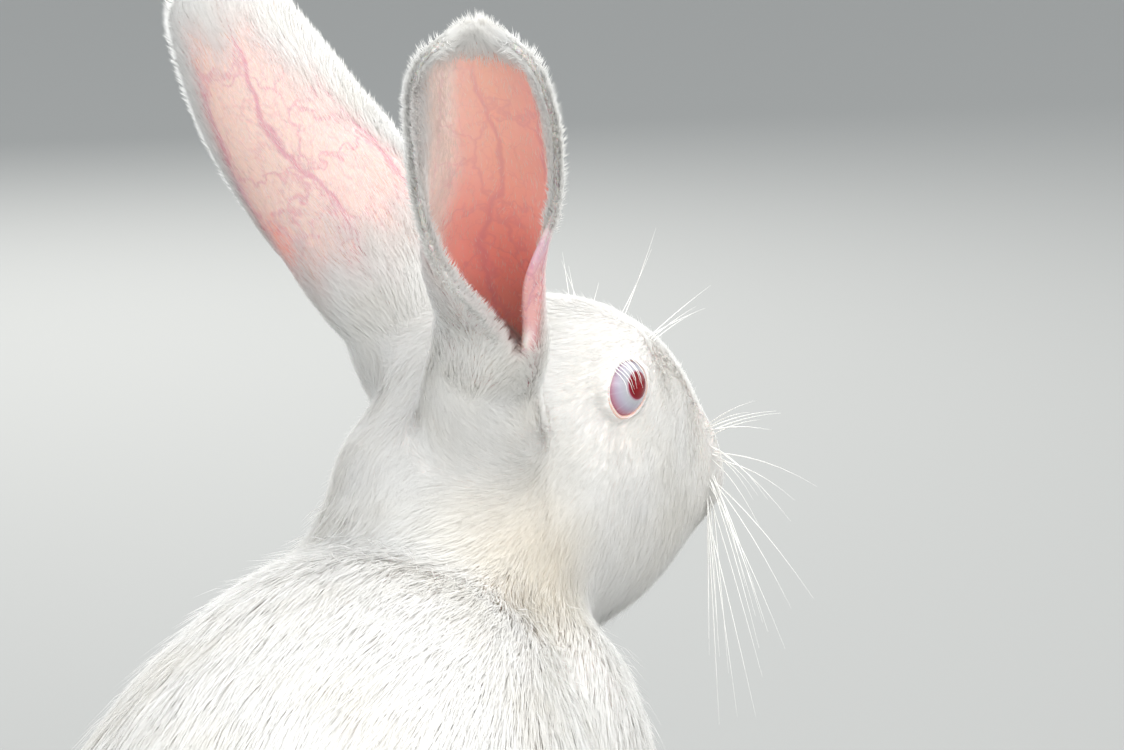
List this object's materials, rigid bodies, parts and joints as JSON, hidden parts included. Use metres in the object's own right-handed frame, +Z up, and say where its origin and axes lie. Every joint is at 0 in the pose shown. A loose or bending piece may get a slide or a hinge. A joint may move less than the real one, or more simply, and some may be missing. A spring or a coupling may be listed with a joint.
{
  "type": "rabbit",
  "caption": "Life-size sitting white rabbit with pink eyes, raised ears and its head turned to its right.",
  "frame": {"origin": "on the floor plane, on the flat under the belly, in the rabbit's middle plane", "axes": "+Z up, -Y the way the body faces, -X the rabbit's right side"},
  "size_m": [0.1882, 0.3365, 0.3351],
  "materials": {
    "coat": "soft white fur, short and dense",
    "ear_skin": "thin pink skin under short white fur",
    "eye": "wet gloss, pink iris and red pupil",
    "claw": "pale horn"
  },
  "bodies": {
    "root": {"head": "coat", "neck": "coat", "trunk": "coat", "tail": "coat", "hind_leg_right": "coat", "hind_leg_left": "coat", "hind_foot_right": "coat", "hind_foot_left": "coat", "fore_leg_right": "coat", "fore_leg_left": "coat", "fore_paw_right": "coat", "fore_paw_left": "coat", "ear_right": "ear_skin", "ear_left": "ear_skin", "eye_right": "eye", "eye_left": "eye"}
  },
  "joints": []
}
